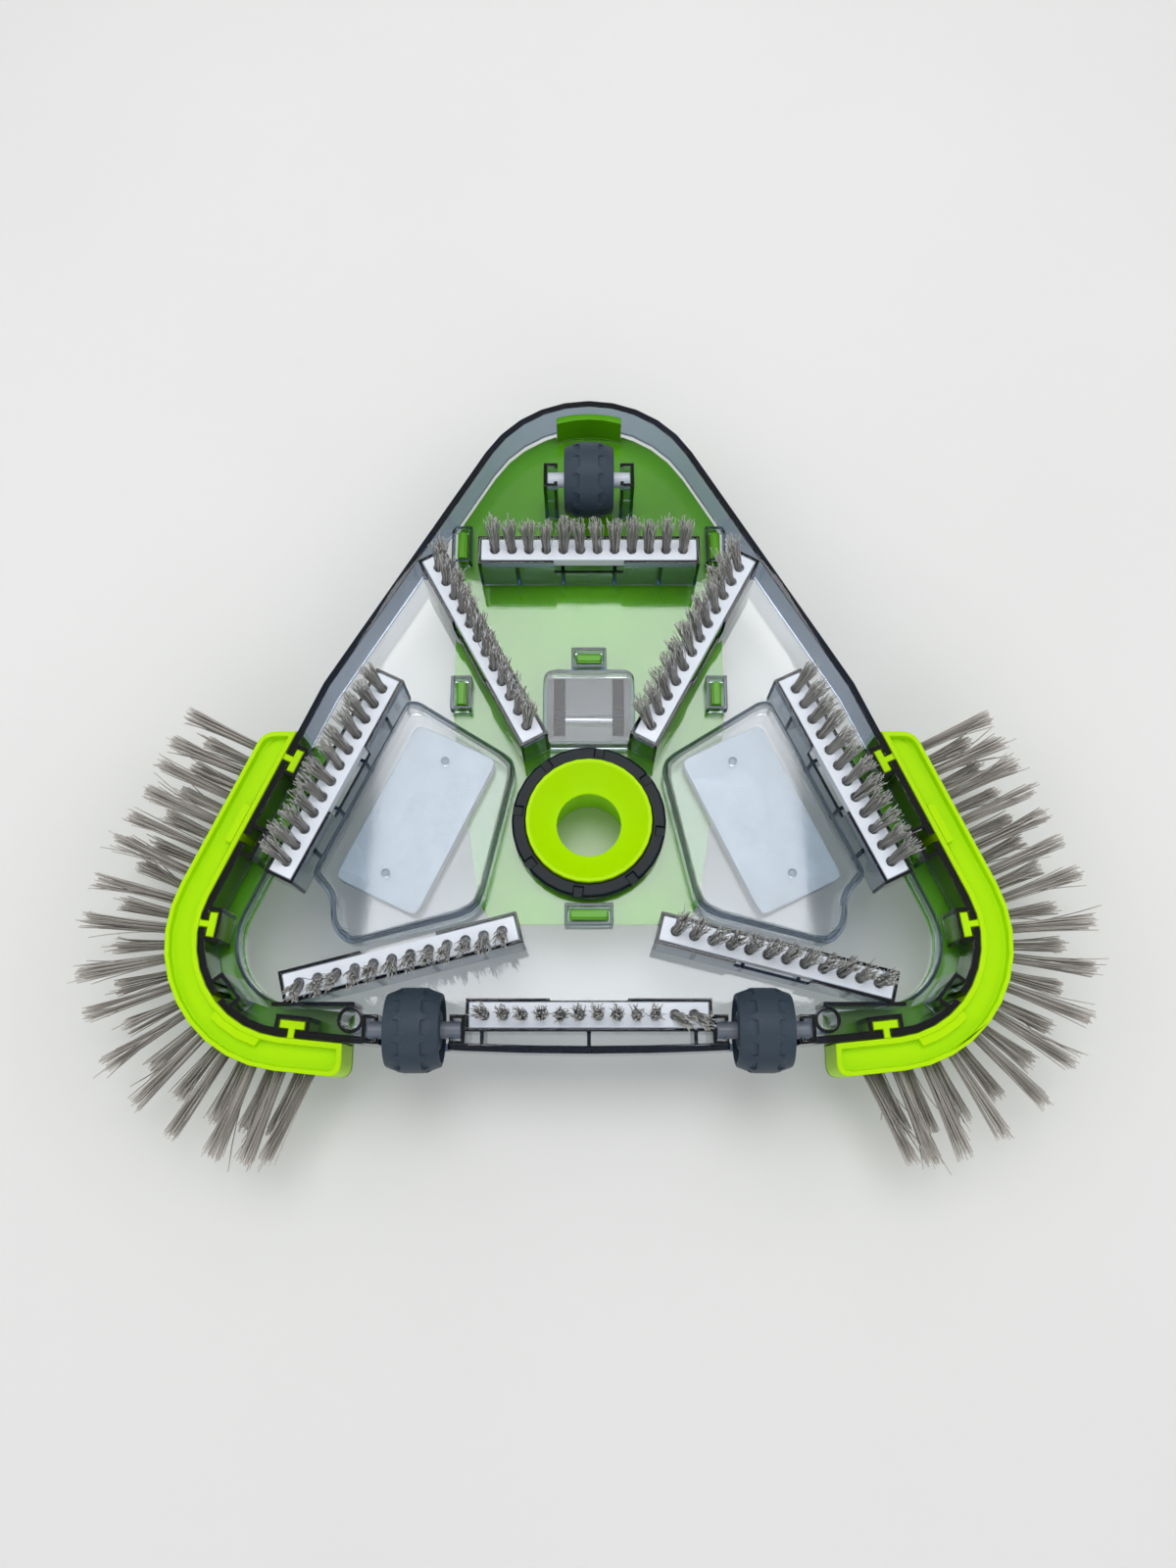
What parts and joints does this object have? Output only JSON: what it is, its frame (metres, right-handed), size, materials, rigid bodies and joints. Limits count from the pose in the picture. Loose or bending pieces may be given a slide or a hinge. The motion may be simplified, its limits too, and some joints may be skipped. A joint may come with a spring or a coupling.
{
  "type": "manual vacuum head",
  "caption": "Triangular see-through pool vacuum head with brush strips, rollers, weights, a swivel hose spigot, side brushes and a folding pole handle.",
  "frame": {"origin": "middle of the underside of the whole object's box, as it lies on its back", "axes": "+Z is the way the working underside faces, +Y points to the apex of the triangle, +X is to the right seen from above"},
  "size_m": [0.432, 0.348, 0.0773],
  "materials": {
    "clear_tray": "clear, faint smoke tint",
    "lime_shell": "satin",
    "dark_plastic": "fine grain",
    "roller_rubber": "matt",
    "strip_plastic": "satin",
    "side_nylon": "fine bristles",
    "axle_plastic": "satin",
    "steel": "galvanised",
    "seal_rubber": "matt"
  },
  "bodies": {
    "head": {"tray_body": "clear_tray", "tray_floor": "clear_tray", "brush_frame_apex": "clear_tray", "brush_frame_upper_right": "clear_tray", "brush_frame_upper_left": "clear_tray", "brush_frame_outer_right": "clear_tray", "brush_frame_outer_left": "clear_tray", "brush_frame_lower_right": "clear_tray", "brush_frame_lower_left": "clear_tray", "apex_wheel_clip_right": "clear_tray", "apex_wheel_clip_left": "clear_tray", "corner_wall_right": "clear_tray", "corner_wall_left": "clear_tray", "round_post_right": "clear_tray", "round_post_left": "clear_tray", "snap_socket_right": "clear_tray", "snap_socket_left": "clear_tray", "snap_socket_apex_right": "clear_tray", "snap_socket_apex_left": "clear_tray", "snap_socket_pivot": "clear_tray", "snap_socket_front": "clear_tray", "port_neck": "clear_tray", "pivot_bracket": "clear_tray", "top_cover": "lime_shell", "corner_cap_left": "lime_shell", "corner_cap_right": "lime_shell", "weight_cover_left": "clear_tray", "weight_cover_right": "clear_tray", "weight_plate_left": "steel", "weight_plate_right": "steel", "brush_strip_apex": "strip_plastic", "brush_strip_front": "strip_plastic", "brush_strip_upper_left": "strip_plastic", "brush_strip_upper_right": "strip_plastic", "brush_strip_outer_left": "strip_plastic", "brush_strip_outer_right": "strip_plastic", "brush_strip_lower_left": "strip_plastic", "brush_strip_lower_right": "strip_plastic", "hose_lock_ring": "dark_plastic", "swivel_seal": "seal_rubber", "axle_apex": "axle_plastic", "axle_front_left": "axle_plastic", "axle_front_right": "axle_plastic", "handle_pivot_pin": "steel"},
    "hose_swivel": {"hose_connector": "lime_shell"},
    "apex_roller": {"wheel_apex": "roller_rubber"},
    "front_left_roller": {"wheel_front_left": "roller_rubber"},
    "front_right_roller": {"wheel_front_right": "roller_rubber"},
    "handle": {"pole_handle": "dark_plastic", "handle_clip_spring": "steel"},
    "left_button": {"clip_button_left": "dark_plastic"},
    "right_button": {"clip_button_right": "dark_plastic"},
    "left_side_brush": {"side_brush_carrier_left": "lime_shell", "side_bristles_left": "side_nylon"},
    "right_side_brush": {"side_brush_carrier_right": "lime_shell", "side_bristles_right": "side_nylon"}
  },
  "joints": [
    {"name": "hose_swivel_turn", "type": "hinge", "parent": "head", "child": "hose_swivel", "pos_m": [0, -0.0294, 0.0343], "axis": [0, 0, 1], "continuous": true},
    {"name": "apex_roller_spin", "type": "hinge", "parent": "head", "child": "apex_roller", "pos_m": [0, 0.1281, 0.0603], "axis": [1, 0, 0], "continuous": true},
    {"name": "front_left_roller_spin", "type": "hinge", "parent": "head", "child": "front_left_roller", "pos_m": [-0.0706, -0.12114, 0.0603], "axis": [1, 0, 0], "continuous": true},
    {"name": "front_right_roller_spin", "type": "hinge", "parent": "head", "child": "front_right_roller", "pos_m": [0.0706, -0.12114, 0.0603], "axis": [1, 0, 0], "continuous": true},
    {"name": "handle_fold", "type": "hinge", "parent": "head", "child": "handle", "pos_m": [0, 0.0259, 0.0145], "axis": [-1, 0, 0], "range_deg": [0, 115]},
    {"name": "left_button_press", "type": "slide", "parent": "handle", "child": "left_button", "axis": [1, 0, 0], "range_m": [0, 0.004], "stiffness_N_per_m": 1500},
    {"name": "right_button_press", "type": "slide", "parent": "handle", "child": "right_button", "axis": [-1, 0, 0], "range_m": [0, 0.004], "stiffness_N_per_m": 1500},
    {"name": "left_side_brush_lift", "type": "slide", "parent": "head", "child": "left_side_brush", "axis": [0, 0, 1], "range_m": [0, 0.02]},
    {"name": "right_side_brush_lift", "type": "slide", "parent": "head", "child": "right_side_brush", "axis": [0, 0, 1], "range_m": [0, 0.02]}
  ]
}
